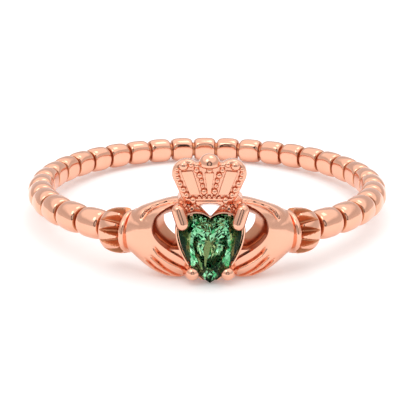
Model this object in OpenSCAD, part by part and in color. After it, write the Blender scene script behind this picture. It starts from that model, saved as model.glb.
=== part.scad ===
// Claddagh ring: two hands hold a crowned heart stone on a band of round beads.
// The ring lies on its side, the finger hole nearly upright and the head towards -Y.

/* [Finger hole and bead row] */
// Diameter of the finger hole, US size 7
finger_d = 17.3; // [14:0.1:21]
// Diameter of a bead, measured along the finger
bead_d = 1.52; // [1.3:0.02:2.2]
// Beads in a full turn of the band
bead_count = 38; // [30:1:44]
// Rounding radius at both ends of a bead
bead_edge = 0.32; // [0.15:0.01:0.4]
// How deep the finger hole cuts into the beads
bead_cut = 0.14; // [0.06:0.01:0.2]
// Diameter of the neck between two beads
neck_d = 1.12; // [0.9:0.02:1.2]
// How far the bead row is turned against the head, in degrees
bead_turn = 0.3; // [-4:0.1:4]

/* [Sleeves and cuffs] */
// Largest diameter of a fluted sleeve
sleeve_d = 2.24; // [1.9:0.02:3]
// Length of a fluted sleeve along the band
sleeve_len = 1.24; // [1:0.02:1.8]
// Rounding radius at the band end of a sleeve
sleeve_round = 0.55; // [0.3:0.01:0.6]
// Flutes around a sleeve
flute_count = 12; // [8:1:16]
// Width of a flute at its wide end
flute_w = 0.34; // [0.2:0.01:0.5]
// Diameter of the plain cuff next to a sleeve
cuff_d = 2.06; // [1.8:0.02:2.6]
// Length of the cuff along the band
cuff_len = 0.46; // [0.4:0.02:1]
// Width of the groove around the cuff
cuff_groove = 0.15; // [0.08:0.01:0.2]
// How far sleeves and cuffs sit outwards of the bead row
cuff_out = 0.14; // [0:0.01:0.3]
// Angle from the head's middle to the joint of cuff and sleeve
cuff_angle = 23.8; // [23:0.1:30]

/* [Hands] */
// Reach of a hand above the middle of the band
hand_up = 1.92; // [1.5:0.02:2.2]
// Reach of a hand below the middle of the band
hand_down = 1.96; // [1.5:0.02:2.2]
// Thickness of a hand outwards of the cuff's middle line
hand_t = 1.05; // [0.8:0.01:1.4]
// Width of a finger
finger_w = 0.33; // [0.25:0.01:0.4]
// Radius of the grooves between the fingers
finger_groove = 0.09; // [0.05:0.01:0.12]
// Diameter of the window between a hand and the heart
window_d = 1.86; // [1.4:0.02:2]

/* [Heart stone] */
// Width of the stone across its lobes
stone_w = 2.92; // [2.6:0.02:3.4]
// Height of the stone from its lobes to its tip
stone_h = 3.28; // [2.9:0.01:3.8]
// Radius of a lobe
lobe_r = 0.84; // [0.75:0.01:0.9]
// Height of the crown facets above the girdle
stone_crown = 0.38; // [0.25:0.01:0.5]
// Thickness of the girdle
stone_girdle = 0.08; // [0.05:0.01:0.15]
// Depth of the pavilion facets below the girdle
stone_pavilion = 1.2; // [0.9:0.01:1.4]
// Width of the table as a share of the stone
stone_table = 0.58; // [0.45:0.01:0.7]
// Main facets around the stone
stone_mains = 10; // [8:2:14]

/* [Setting] */
// Clear gap between the stone and its metal
stone_gap = 0.05; // [0.03:0.01:0.1]
// Distance of the stone's table from the ring's axis
table_reach = 10.82; // [10.6:0.01:11.4]
// Thickness of the basket's rim around the stone
rim_t = 0.18; // [0.12:0.01:0.3]
// Width of the ledge that the stone sits on
seat_w = 0.2; // [0.12:0.01:0.3]
// Diameter of a prong
prong_d = 0.64; // [0.4:0.01:0.7]

/* [Crown] */
// Width of the crown across its outer lobes
crown_w = 3.36; // [2.8:0.02:4]
// Height of the crown from its foot to the top of the orb
crown_h = 2.3; // [1.8:0.02:3]
// Height of the crown's foot above the middle of the band
crown_foot = 1.88; // [1.5:0.02:2.2]
// Front face of the crown, as a distance from the ring's axis
crown_reach = 10.22; // [10:0.01:10.6]
// Thickness of the crown's plate
crown_t = 0.8; // [0.7:0.02:1.3]
// Diameter of the largest milgrain bead
milgrain_d = 0.46; // [0.3:0.01:0.6]
// Depth of the panels between the milgrain rows
panel_depth = 0.14; // [0.05:0.01:0.3]

/* [Hidden] */
$fn = 48;
gold = "#e8a98c";
emerald = "#1f7a3c";

// Places in the ring's own frame: the hole's axis is Z, the head's middle is at -Y
hole_r = finger_d / 2;
row_r = hole_r + bead_d / 2 - bead_cut;
cuff_r = row_r + cuff_out;
bead_pitch = 360 / bead_count;
// How far the band reaches into a sleeve, in degrees
band_in = 2;
sleeve_angle = cuff_angle + sleeve_len / cuff_r * 180 / PI;
cuff_end_angle = cuff_angle - cuff_len / cuff_r * 180 / PI;
overlap = 0.05;
// A step this small keeps two walls that lie side by side from falling together
wall_step = 0.01;

// The plane of the stone's girdle, and the height of its middle
girdle_reach = table_reach - stone_crown;
stone_z = 0.49;
lobe_x = stone_w / 2 - lobe_r;
lobe_z = 0;
tip_z = lobe_r - stone_h;
heart_mid = tip_z * 0.28;

// Prongs: places of foot and tip as shares of the stone's half width and height
// Columns: foot across, foot up, tip across, tip up
PRONGS = [
    [1.04, 0.25, 0.89, 0.17],
    [0.64, -0.60, 0.53, -0.565],
];
prong_top = table_reach + 0.08;
low_prong_z = stone_z + PRONGS[1][3] * stone_h;

// How the ring lies: the back of the band and both hands touch the ground
hand_low_angle = 10.5;
hand_low_y = cuff_r * cos(hand_low_angle);
rest_span = norm([hand_down, row_r + hand_low_y]);
rest_tilt = atan2(hand_down, row_r + hand_low_y) - asin(bead_d / 2 / rest_span);
rest_lift = bead_d / 2 + row_r * sin(rest_tilt);
rest_y = ((prong_top - row_r - bead_d / 2) * cos(rest_tilt) - low_prong_z * sin(rest_tilt)) / 2;

// Sections of a hand from the cuff to the stone.
// Columns: place along the hand, reach down, reach up and thickness as shares, squareness
HAND = [
    [0.00, 0.52, 0.57, 0.92, 2.0],
    [0.14, 0.66, 0.68, 0.95, 2.1],
    [0.28, 0.79, 0.76, 0.99, 2.3],
    [0.42, 0.90, 0.85, 1.02, 2.5],
    [0.56, 0.97, 0.92, 1.03, 2.6],
    [0.70, 1.00, 0.97, 1.02, 2.6],
    [0.84, 0.98, 1.00, 0.98, 2.6],
    [1.00, 0.90, 0.99, 0.92, 2.6],
];
hand_from = cuff_end_angle + 0.3;
hand_to = 4.5;
hand_rows = 13;
hand_cols = 22;
hand_back = 0.8;
// Middle of the arcs that the fingers follow
finger_x = 0.98;
finger_z = 0.76;
// Grooves between the fingers.
// Columns: radius in finger widths, first and last angle from straight down, reach as a share of hand_t
FINGER_GROOVES = [
    [6, -6, 62, 0.745],
    [7, 2, 56, 0.62],
    [8, 24, 56, 0.41],
];

// Outline of the crown: the flank of one half, then the places of its round lobe and of the orb
// Columns: place across and place up as shares of the crown's half width and height
FLANK = [[0, 0], [0.6, 0], [0.67, 0.1], [0.75, 0.22], [0.86, 0.4], [0.97, 0.56], [0.9, 0.8], [0.3, 0.84]];
LOBE_AT = [0.62, 0.66];
ORB_AT = [0, 0.78];
crown_lobe = 0.6;
orb_d = 1.02;
// How far milgrain and orb stand back from the crown's front face
milgrain_back = 0.03;
orb_back = 0.2;
orb_share = 0.96;

// Milgrain beads of one half of the crown.
// Columns: place across and place up as shares of the crown's half width and height, size
MILGRAIN = [
    [0.00, 0.66, 0.70],
    [0.00, 0.11, 0.40],
    [0.13, 0.11, 0.40],
    [0.26, 0.10, 0.42],
    [0.47, 0.06, 0.70],
    [0.63, 0.17, 0.60],
    [0.72, 0.29, 0.60],
    [0.79, 0.41, 0.65],
    [0.88, 0.57, 0.70],
    [0.69, 0.74, 1.00],
    [0.49, 0.76, 0.60],
    [0.33, 0.68, 0.60],
    [0.25, 0.56, 0.65],
    [0.20, 0.44, 0.50],
    [0.17, 0.34, 0.50],
    [0.14, 0.23, 0.70],
];

// A smooth curve through a table's rows, read at place v
function row_at(table, v) = len([for (r = table) if (r[0] < v - 0.0001) 1]) - 1;
function smooth(a, b, c, d, t) =
    b + (c - a) / 2 * t + (a - 2.5 * b + 2 * c - d / 2) * t * t + (1.5 * (b - c) + (d - a) / 2) * t * t * t;
function column(table, v, k) =
    let (last = len(table) - 1, i = min(max(row_at(table, v), 0), last - 1))
    let (t = (v - table[i][0]) / (table[i + 1][0] - table[i][0]))
    smooth(table[max(i - 1, 0)][k], table[i][k], table[i + 1][k], table[min(i + 2, last)][k], t);

// Outline of the stone, moved outwards by d. u runs once around from the tip.
side_turn = 8;
side_from = [lobe_x + lobe_r * cos(side_turn), lobe_z - lobe_r * sin(side_turn)];
side_aim = [cos(side_turn), -sin(side_turn)];
side_r = pow(norm(side_from - [0, tip_z]), 2) / (2 * (side_from - [0, tip_z]) * side_aim);
side_c = side_from - side_r * side_aim;
function tip_at(d) = side_c[1] - sqrt(pow(side_r + d, 2) - pow(side_c[0], 2));
function side_arc(t, d) =
    let (a0 = atan2(tip_at(d) - side_c[1], -side_c[0]), a = a0 + (-side_turn - a0) * t)
    side_c + (side_r + d) * [cos(a), sin(a)];
function lobe_arc(t, d) =
    let (a1 = 180 - acos(min(1, lobe_x / (lobe_r + d))), a = -side_turn + (a1 + side_turn) * t)
    [lobe_x, lobe_z] + (lobe_r + d) * [cos(a), sin(a)];
function half_heart(u, d) = u <= 0.25 ? side_arc(u * 4, d) : lobe_arc(u * 4 - 1, d);
function heart(u, d = 0) =
    u <= 0.5 ? half_heart(u, d) : let (p = half_heart(1 - u, d)) [-p[0], p[1]];
heart_steps = 40;
function heart_path(d) = [for (i = [0 : heart_steps - 1]) heart(i / heart_steps, d)];

// Puts a shape that is drawn around X at an angle along the band, with its middle at radius r
module along_band(angle, r) {
    rotate([0, 0, angle]) translate([0, -r, 0]) rotate([0, 90, 0]) children();
}

// Stands a flat outline of x and height on its edge, from reach r0 to r1 in front of the axis
module standing(r0, r1) {
    translate([0, -r0, 0]) rotate([90, 0, 0]) linear_extrude(r1 - r0) children();
}

// Groove between two beads: half its section, turned around the band's own line
module bead_groove() {
    r = bead_d / 2;
    neck = neck_d / 2;
    rotate_extrude() polygon([[neck, 0], [neck + (r - neck) * 0.45, bead_edge * 0.3], [r, bead_edge],
        [r + overlap, bead_edge * 1.4], [r + overlap, -bead_edge * 1.4], [r, -bead_edge],
        [neck + (r - neck) * 0.45, -bead_edge * 0.3]]);
}

// The band from sleeve to sleeve: round outside, flat along the finger hole
module bead_row() {
    difference() {
        rotate([0, 0, sleeve_angle - band_in - 90]) rotate_extrude(angle = 360 - 2 * (sleeve_angle - band_in))
            intersection() {
                translate([row_r, 0]) circle(d = bead_d);
                translate([hole_r, -bead_d]) square([bead_d, 2 * bead_d]);
            }
        for (k = [0 : bead_count - 1]) {
            angle = 180 + bead_turn + (k + 0.5) * bead_pitch;
            from_head = abs((angle % 360 + 540) % 360 - 180);
            if (from_head > sleeve_angle + 1) along_band(angle, row_r) bead_groove();
        }
    }
}

// Half outline of a sleeve, revolved around X. Its flat end faces the hand.
module sleeve_profile() {
    r = sleeve_d / 2;
    intersection() {
        square([r, sleeve_len]);
        union() {
            square([r, sleeve_len - sleeve_round]);
            translate([r - sleeve_round, sleeve_len - sleeve_round]) circle(sleeve_round);
            square([r - sleeve_round, sleeve_len]);
        }
    }
}

module flutes() {
    for (k = [0 : flute_count - 1]) rotate([0, 0, (k + 0.5) * 360 / flute_count])
        translate([sleeve_d / 2, 0, -overlap]) rotate([0, 2, 0])
            cylinder(h = sleeve_len * 0.8, r1 = flute_w / 2, r2 = flute_w / 10);
}

// Sleeve and cuff at the right of the head; each leans by half of the arc that it spans
sleeve_lean = sleeve_len / cuff_r * 90 / PI;
cuff_lean = cuff_len / cuff_r * 90 / PI;
groove_share = 1.4;
module sleeve_and_cuff() {
    along_band(cuff_angle, cuff_r) {
        rotate([0, sleeve_lean, 0]) difference() {
            rotate_extrude() sleeve_profile();
            flutes();
        }
        rotate([0, -cuff_lean, 0]) translate([0, 0, -cuff_len]) difference() {
            cylinder(h = cuff_len + overlap, d = cuff_d);
            translate([0, 0, overlap]) difference() {
                cylinder(h = cuff_groove, r = cuff_d);
                translate([0, 0, -overlap]) cylinder(h = cuff_d, d = cuff_d - groove_share * cuff_groove);
            }
        }
    }
}

// Front surface of a hand as a grid: v runs from the cuff to the stone, t from bottom to top
function hand_point(v, t) =
    let (a = hand_from + (hand_to - hand_from) * v, w = sin(90 - 180 * t), square = column(HAND, v, 4))
    let (low = -hand_down * column(HAND, v, 1), high = hand_up * column(HAND, v, 2))
    let (bulge = pow(1 - pow(abs(w), square), 1 / square))
    let (r = cuff_r + hand_t * column(HAND, v, 3) * bulge)
    [r * sin(a), -r * cos(a), (low + high) / 2 - (high - low) / 2 * w];
// The back of a hand, just behind the wall of the finger hole and narrower than the front
function hand_back_point(v, side) =
    let (a = hand_from + (hand_to - hand_from) * v, r = hole_r + wall_step)
    let (z = side < 0 ? -hand_down * column(HAND, v, 1) : hand_up * column(HAND, v, 2))
    [r * sin(a), -r * cos(a), z * hand_back];

module hand() {
    n = hand_cols + 3;
    points = [for (i = [0 : hand_rows]) each concat(
        [hand_back_point(i / hand_rows, -1)],
        [for (j = [0 : hand_cols]) hand_point(i / hand_rows, j / hand_cols)],
        [hand_back_point(i / hand_rows, 1)])];
    skin = [for (i = [0 : hand_rows - 1], j = [0 : n - 1]) let (k = (j + 1) % n)
        each [[i * n + j, (i + 1) * n + k, i * n + k], [i * n + j, (i + 1) * n + j, (i + 1) * n + k]]];
    ends = [[for (j = [0 : n - 1]) j], [for (j = [n - 1 : -1 : 0]) hand_rows * n + j]];
    polyhedron(points, concat(skin, ends), convexity = 6);
}

// Round grooves between the fingers of a hand, cut along arcs in front of it
module finger_grooves() {
    for (row = FINGER_GROOVES)
        translate([finger_x, -(cuff_r + row[3] * hand_t), finger_z]) rotate([90, 0, 0])
            rotate([0, 0, row[1] - 90]) rotate_extrude(angle = row[2] - row[1])
                translate([row[0] * finger_w, 0]) circle(finger_groove);
}

// The round window beside the heart, cut towards the ring's axis
window_angle = 14;
window_x = 1.8;
window_z = 0.62;
module window() {
    translate([window_x, -crown_reach, window_z]) rotate([0, 0, window_angle]) rotate([90, 0, 0])
        cylinder(h = 2 * hole_r, d = window_d, center = true);
}

// The open basket around the stone, from the finger hole to just under the girdle.
// It leaves the stone's tip free over the height tip_open.
tip_open = 0.12;
module basket() {
    standing(hole_r - 0.5, girdle_reach - stone_girdle) translate([0, stone_z]) difference() {
        polygon(heart_path(rim_t));
        translate([-stone_w / 2, tip_z - stone_w]) square([stone_w, stone_w + tip_open]);
    }
}
// Room for the stone: the full outline down to the ledge, and a smaller one through it
seat_reach = girdle_reach - stone_girdle - stone_gap - seat_w * 1.1;
module stone_room() {
    standing(seat_reach, table_reach + 1) translate([0, stone_z]) polygon(heart_path(stone_gap));
    standing(hole_r - 1, seat_reach + overlap) translate([0, stone_z]) polygon(heart_path(-seat_w));
}

// The gallery carries the crown behind the heart's lobes and is open below its middle
gallery_w = 2.9;
gallery_behind = 0.24;
gallery_reach = crown_reach - gallery_behind;
// The three-cornered gap between the heart's lobes: half its width, its top and its height
gap_half = 0.47;
gap_top = crown_foot - 0.2;
gap_h = 0.52;
module gallery() {
    standing(hole_r - 0.5, gallery_reach) difference() {
        translate([-gallery_w / 2, stone_z + lobe_z]) square([gallery_w, crown_foot + 0.5 - stone_z]);
        polygon([[-gap_half, gap_top], [gap_half, gap_top], [0, gap_top - gap_h]]);
    }
}

function crown_point(across, up) = [across * crown_w / 2, crown_foot + up * crown_h];
module crown_outline() {
    for (side = [-1, 1]) {
        polygon([for (p = concat(FLANK, [ORB_AT])) crown_point(side * p[0], p[1])]);
        translate(crown_point(side * LOBE_AT[0], LOBE_AT[1])) circle(crown_lobe);
    }
    translate(crown_point(ORB_AT[0], ORB_AT[1])) circle(d = orb_d);
}
module panels() {
    standing(crown_reach - panel_depth, crown_reach + 1) {
        polygon([for (p = [[-0.06, 0.17], [0.06, 0.17], [0.14, 0.6], [-0.14, 0.6]]) crown_point(p[0], p[1])]);
        for (side = [-1, 1])
            polygon([for (p = [[0.23, 0.17], [0.5, 0.17], [0.72, 0.62], [0.4, 0.66]])
                crown_point(side * p[0], p[1])]);
    }
}
module milgrain() {
    for (bead = MILGRAIN, side = bead[0] > 0 ? [-1, 1] : [1]) {
        p = crown_point(side * bead[0], bead[1]);
        translate([p[0], -crown_reach + milgrain_back, p[1]]) sphere(d = milgrain_d * bead[2], $fn = 24);
    }
}
module crown() {
    difference() {
        standing(crown_reach - crown_t, crown_reach) crown_outline();
        panels();
    }
    milgrain();
    orb = crown_point(ORB_AT[0], ORB_AT[1]);
    translate([orb[0], -crown_reach + orb_back, orb[1]]) sphere(d = orb_d * orb_share);
}

// A prong stands beside the girdle and leans over the stone
prong_len = 1.1;
module prong(row, side) {
    foot = [side * row[0] * stone_w / 2, -(girdle_reach - prong_len), stone_z + row[1] * stone_h];
    tip = [side * row[2] * stone_w / 2, -(prong_top - prong_d / 2), stone_z + row[3] * stone_h];
    way = tip - foot;
    turn = atan2(way[1], way[0]);
    lean = acos(way[2] / norm(way));
    translate(foot) rotate([0, lean, turn]) rotate_extrude() intersection() {
        translate([0, -prong_d]) square([prong_d, norm(way) + 2 * prong_d]);
        union() {
            square([prong_d / 2, norm(way)]);
            translate([0, norm(way)]) circle(d = prong_d);
        }
    }
}

// The stone's facets. Each ring of points is a scaled outline at its own reach.
girdle_cuts = 4;
stone_points = stone_mains * girdle_cuts;
function stone_ring(count, shift, share, reach, d = 0) = [for (i = [0 : count - 1])
    let (p = heart(((i + shift) / count) % 1, d), m = [0, heart_mid])
    let (q = m + (p - m) * share) [q[0], -reach, stone_z + q[1]]];
module stone(grow = 0) {
    k = stone_mains;
    n = stone_points;
    base = girdle_reach - stone_girdle;
    points = concat(
        stone_ring(k, 0, stone_table, table_reach + grow, grow),
        stone_ring(k, 0.5, 0.8, girdle_reach + stone_crown * 0.52 + grow, grow),
        stone_ring(n, 0, 1, girdle_reach + grow * 0.5, grow),
        stone_ring(n, 0, 1, base - grow * 0.5, grow),
        stone_ring(k, 0.5, 0.34, base - stone_pavilion * 0.7 - grow, grow),
        [[0, -(base - stone_pavilion - grow), stone_z + heart_mid]]);
    table = 0; star = k; top = 2 * k; low = top + n; half = low + n; culet = half + k;
    faces = concat(
        [[for (i = [0 : k - 1]) table + i]],
        [for (i = [0 : k - 1]) let (j = (i + 1) % k) [table + j, table + i, star + i]],
        [for (i = [0 : k - 1]) let (h = (i + k - 1) % k) each [
            [table + i, star + h, top + i * girdle_cuts], [table + i, top + i * girdle_cuts, star + i]]],
        [for (i = [0 : n - 1]) let (j = (i + 1) % n, s = floor(i / girdle_cuts)) each [
            [star + s, top + i, top + j], [top + i, low + i, low + j], [top + i, low + j, top + j],
            [half + s, low + j, low + i]]],
        [for (i = [0 : k - 1]) let (h = (i + k - 1) % k) each [
            [culet, low + i * girdle_cuts, half + h], [culet, half + i, low + i * girdle_cuts]]]);
    polyhedron(points, [for (f = faces) [for (i = [len(f) - 1 : -1 : 0]) f[i]]], convexity = 4);
}

// Lays the ring down as it rests, with the middle of its box over the origin
module at_rest() {
    translate([0, rest_y, rest_lift]) rotate([-rest_tilt, 0, 0]) children();
}

module head() {
    difference() {
        union() {
            difference() {
                for (side = [0, 1]) mirror([side, 0, 0]) hand();
                for (side = [0, 1]) mirror([side, 0, 0]) {
                    window();
                    finger_grooves();
                }
            }
            difference() {
                union() {
                    basket();
                    gallery();
                }
                bore(hole_r);
            }
        }
        stone_room();
    }
    crown();
    difference() {
        for (row = PRONGS, side = [-1, 1]) prong(row, side);
        stone(stone_gap - wall_step);
    }
}

module bore(r) {
    cylinder(h = 2 * (crown_foot + crown_h), r = r, center = true);
}

module ring() {
    color(gold) at_rest() {
        bead_row();
        for (side = [0, 1]) mirror([side, 0, 0]) difference() {
            sleeve_and_cuff();
            bore(hole_r + wall_step);
        }
        head();
    }
}

module heart_stone() {
    color(emerald) at_rest() stone();
}

ring();
heart_stone();
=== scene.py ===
# %% [markdown]
# A claddagh ring: two hands hold a crowned heart. This lesson dresses the ring's CAD model for a
# studio picture. The real ring is one casting in polished rose gold with one green stone.
# Every metal form is modelled here again with finer curves, and each stands where the CAD solid is,
# but for sleeves and cuffs, which follow the photo and stand 0.17 mm further out.

# %% Load the frame
from math import acos, atan2, ceil, cos, degrees, exp, floor, hypot, pi, radians, sin, sqrt, tan

import bmesh
import bpy
from mathutils import Matrix, Vector, noise


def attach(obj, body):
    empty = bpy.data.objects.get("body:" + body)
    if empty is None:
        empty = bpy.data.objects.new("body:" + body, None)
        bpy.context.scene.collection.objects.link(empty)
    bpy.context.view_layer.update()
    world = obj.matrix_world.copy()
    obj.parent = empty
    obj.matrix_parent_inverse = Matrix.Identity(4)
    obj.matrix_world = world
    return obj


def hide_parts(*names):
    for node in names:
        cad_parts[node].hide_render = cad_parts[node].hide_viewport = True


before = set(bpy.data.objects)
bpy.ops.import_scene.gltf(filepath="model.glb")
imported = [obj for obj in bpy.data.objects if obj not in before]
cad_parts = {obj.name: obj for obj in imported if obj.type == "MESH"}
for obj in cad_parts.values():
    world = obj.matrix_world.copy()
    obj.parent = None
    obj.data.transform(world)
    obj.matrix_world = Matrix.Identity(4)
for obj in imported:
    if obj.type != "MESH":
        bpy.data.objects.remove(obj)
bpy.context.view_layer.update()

# %% [markdown]
# The ring is drawn in its own frame, in millimetres: the finger hole runs along Z, and the heart
# faces -Y. One matrix then lays every piece down as the ring rests on the table, in metres.
# The sizes repeat the named values of the CAD source.

# %% The ring's own frame
HOLE_R = 8.65
ROW_R = 9.27
CUFF_R = 9.41
# How far the ring leans at rest, in degrees, and where its own middle then lies
REST_TILT = 3.7019
REST_LIFT = 1.3585
REST_Y = 0.4781
LAY_DOWN = (Matrix.Scale(0.001, 4) @ Matrix.Translation((0, REST_Y, REST_LIFT))
            @ Matrix.Rotation(radians(-REST_TILT), 4, "X"))


def around(angle):
    """Turns something that stands at the ring's front, at -Y, to an angle around the finger."""
    return Matrix.Rotation(radians(angle), 4, "Z")


def along_band(angle, r):
    """Puts a shape drawn along Z on the band's line, at an angle from the heart."""
    return around(angle) @ Matrix.Translation((0, -r, 0)) @ Matrix.Rotation(radians(90), 4, "Y")


# %% [markdown]
# The camera stands where the photographer's did: 5 cm from the ring and 18 degrees above the table,
# with a long lens. Its angles count from the ring's own frame, which leans by 3.7 degrees. The lens
# is shifted a little, as the picture's middle lies below the middle of the ring.

# %% Camera
CAMERA_UP = 14.9
CAMERA_TURN = -0.84
CAMERA_ROLL = 0.35
CAMERA_FAR = 52.7
SENSOR_MM = 36
FOCAL_PX = 927.0
FRAME_PX = 416
# Where the line of sight crosses the picture, in pixels from its left and its top
SIGHT_PX = (207.3, 184.8)


def aim_camera():
    camera = bpy.data.objects.new("camera", bpy.data.cameras.new("camera"))
    bpy.context.collection.objects.link(camera)
    camera.data.sensor_width = SENSOR_MM
    camera.data.lens = SENSOR_MM * FOCAL_PX / FRAME_PX
    camera.data.shift_x = (FRAME_PX / 2 - SIGHT_PX[0]) / FRAME_PX
    camera.data.shift_y = -(FRAME_PX / 2 - SIGHT_PX[1]) / FRAME_PX
    camera.data.clip_start, camera.data.clip_end = 0.002, 5
    look = (around(CAMERA_TURN) @ Matrix.Rotation(radians(-CAMERA_UP), 4, "X")
            @ Matrix.Translation((0, -CAMERA_FAR, 0)) @ Matrix.Rotation(radians(90), 4, "X")
            @ Matrix.Rotation(radians(CAMERA_ROLL), 4, "Z"))
    place = LAY_DOWN @ look
    camera.matrix_world = Matrix.LocRotScale(place.to_translation(), place.to_quaternion(), None)
    bpy.context.scene.camera = camera
    return camera


camera = aim_camera()
print("camera at", [round(1000 * x, 1) for x in camera.location])

# %% [markdown]
# Four small functions keep the materials short. Colours are picked from the picture as sRGB hex
# values, but shaders count in linear light, so one function turns them. Another adds a node, sets
# its inputs and links what should be linked. The last two fill a colour ramp and start a material.

# %% Colour and node helpers
def linear(hex_colour):
    """An sRGB hex value as linear red, green, blue and an alpha of 1."""
    parts = [int(hex_colour[i:i + 2], 16) / 255 for i in (1, 3, 5)]
    return [p / 12.92 if p < 0.04045 else ((p + 0.055) / 1.055) ** 2.4 for p in parts] + [1.0]


def add(tree, kind, settings=None, links=None, **inputs):
    """Adds a node: settings are its own, links go from other nodes' sockets into its inputs."""
    node = tree.nodes.new(kind)
    for name, value in (settings or {}).items():
        setattr(node, name, value)
    for name, value in inputs.items():
        node.inputs[name.replace("_", " ")].default_value = value
    for name, socket in (links or {}).items():
        tree.links.new(socket, node.inputs[name])
    return node


def fill_ramp(ramp, stops):
    """Gives a colour ramp its stops, each a place and a colour."""
    elements = ramp.color_ramp.elements
    while len(elements) < len(stops):
        elements.new(0.5)
    for stop, (place, colour) in zip(elements, stops):
        stop.position, stop.color = place, linear(colour)


def new_material(name):
    """An empty material with its output and a Principled shader."""
    material = bpy.data.materials.new(name)
    material.use_nodes = True
    tree = material.node_tree
    tree.nodes.clear()
    shader = add(tree, "ShaderNodeBsdfPrincipled")
    add(tree, "ShaderNodeOutputMaterial", links={"Surface": shader.outputs[0]})
    return material, tree, shader


# %% [markdown]
# The metal is 14 carat rose gold, cast and polished to a mirror. Copper in the alloy turns the
# reflections peach. A real casting is never quite flat: the polishing wheel leaves faint waves
# about a millimetre long and hairlines far finer, so the noise textures bend the reflections and
# vary the roughness a little.

# %% Rose gold
# Each finish has two colours, which the waves blend
POLISHED = ("#F4BAA0", "#EFB092")
# Darker colours for grooves, darts and the window's walls: painted shade in these hollows
HOLLOW_SHADE = ("#D8926C", "#C27B56")
# Waves and hairlines to a metre
WAVE_SCALE, HAIRLINE_SCALE = 900.0, 9000.0


def rose_gold_material(name, wave=0.12, grain=0.03, rough=(0.09, 0.17), colours=POLISHED):
    material, tree, shader = new_material(name)
    place = add(tree, "ShaderNodeTexCoord").outputs["Object"]
    waves = add(tree, "ShaderNodeTexNoise", links={"Vector": place}, Scale=WAVE_SCALE, Detail=2.0)
    fine = add(tree, "ShaderNodeTexNoise", links={"Vector": place}, Scale=HAIRLINE_SCALE, Detail=3.0)
    tint = add(tree, "ShaderNodeMix", {"data_type": "RGBA"}, {"Factor": waves.outputs["Fac"]})
    tint.inputs["A"].default_value = linear(colours[0])
    tint.inputs["B"].default_value = linear(colours[1])
    tree.links.new(tint.outputs["Result"], shader.inputs["Base Color"])
    gloss = add(tree, "ShaderNodeMapRange", links={"Value": fine.outputs["Fac"]})
    gloss.inputs["To Min"].default_value, gloss.inputs["To Max"].default_value = rough
    tree.links.new(gloss.outputs[0], shader.inputs["Roughness"])
    swell = add(tree, "ShaderNodeBump", links={"Height": waves.outputs["Fac"]},
                Strength=wave, Distance=0.0001)
    grit = add(tree, "ShaderNodeBump", links={"Height": fine.outputs["Fac"], "Normal": swell.outputs[0]},
               Strength=grain, Distance=0.00002)
    tree.links.new(grit.outputs[0], shader.inputs["Normal"])
    shader.inputs["Metallic"].default_value = 1.0
    return material


polished_gold = rose_gold_material("polished rose gold")
cast_gold = rose_gold_material("cast rose gold", wave=0.3, grain=0.25, rough=(0.16, 0.32))
# Rougher gold for the hollows, its colour painted darker as shade
rough_shaded_gold = rose_gold_material("unpolished rose gold with painted shade", wave=0.3, grain=0.3, rough=(0.25, 0.4),
                                colours=HOLLOW_SHADE)
print("metal finishes:", polished_gold.name, "and", cast_gold.name, "and", rough_shaded_gold.name)


# %% [markdown]
# Every new piece ends the same way: doubles are merged, the faces are turned outwards, the piece is
# laid down with the ring, and its sharp edges are marked so that the polish breaks there.

# %% Finishing a piece
# Points that lie nearer than this are one
MERGE = 0.0004
# Edges that turn by more degrees than this stay crisp
CREASE = 38


def laid_down(name, bm):
    """A closed bmesh of the ring's own frame as an object on the table, its faces outwards."""
    bmesh.ops.remove_doubles(bm, verts=bm.verts, dist=MERGE)
    bm.normal_update()
    bmesh.ops.recalc_face_normals(bm, faces=bm.faces)
    if bm.calc_volume(signed=True) < 0:
        bmesh.ops.reverse_faces(bm, faces=bm.faces)
    bm.transform(LAY_DOWN)
    mesh = bpy.data.meshes.new(name)
    bm.to_mesh(mesh)
    bm.free()
    piece = bpy.data.objects.new(name, mesh)
    bpy.context.collection.objects.link(piece)
    return piece


def cast(name, bm, material, crease=CREASE):
    """A finished piece of the ring, with its material."""
    piece = laid_down(name, bm)
    mesh = piece.data
    mesh.materials.append(material)
    mesh.shade_smooth()
    mesh.set_sharp_from_angle(angle=radians(crease))
    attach(piece, "root")
    print(name, "has", len(mesh.polygons), "faces")
    return piece


def turned(bm, profile, steps):
    """Turns a profile of (radius, height) points once around Z, as on a lathe."""
    chain = [bm.verts.new((r, 0, h)) for r, h in profile]
    edges = [bm.edges.new(pair) for pair in zip(chain, chain[1:])]
    bmesh.ops.spin(bm, geom=chain + edges, cent=(0, 0, 0), axis=(0, 0, 1),
                   angle=2 * pi, steps=steps, use_merge=True)
    bmesh.ops.remove_doubles(bm, verts=bm.verts, dist=MERGE)


def bow(steps, r, start, end, middle):
    """Points on an arc of radius r around a middle, from a start to an end angle."""
    turns = [radians(start + (end - start) * i / steps) for i in range(steps + 1)]
    return [(middle[0] + r * cos(a), middle[1] + r * sin(a)) for a in turns]


# %% [markdown]
# The band is a row of round beads. Each bead is a puffy barrel, and the finger side is cut flat by
# the finger hole. Between two beads runs a narrow neck. A single spin of one circle around the
# finger makes the whole band, and then every cross-section is pressed to the bead's own profile.
# That way the band stays one closed skin with crisp valleys.

# %% Bead band
BEAD_R = 0.76
BEADS = 38
BEAD_PITCH = 360 / BEADS
BEAD_TURN = 0.3
# Where the band enters the sleeves, and how far it runs on inside, in degrees from the heart
SLEEVE_END = 31.80
BAND_IN = 2
NECK_R = 0.44
# Share of the pitch that a bead takes, and the power that rounds it towards the neck
BEAD_SHARE = 0.92
BEAD_ROUND = 3.0
# The higher this power, the crisper the edge of the flat side
FLAT_EDGE = 12
STEPS_PER_BEAD = 20
SECTION_POINTS = 56
# Share of a bead's steps that lies on the bead itself, the rest on the neck
ON_BEAD = 0.9
# From this share of the way to the joint on, the bead is left rougher and painted darker, as shade in the
# groove
IN_GROOVE = 0.86


def bead_radius(s):
    """Radius of a bead at a share s of the way from its middle to the joint."""
    t = min(1, abs(s) / BEAD_SHARE)
    return NECK_R + (BEAD_R - NECK_R) * (1 - t ** BEAD_ROUND) ** (1 / BEAD_ROUND)


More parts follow.
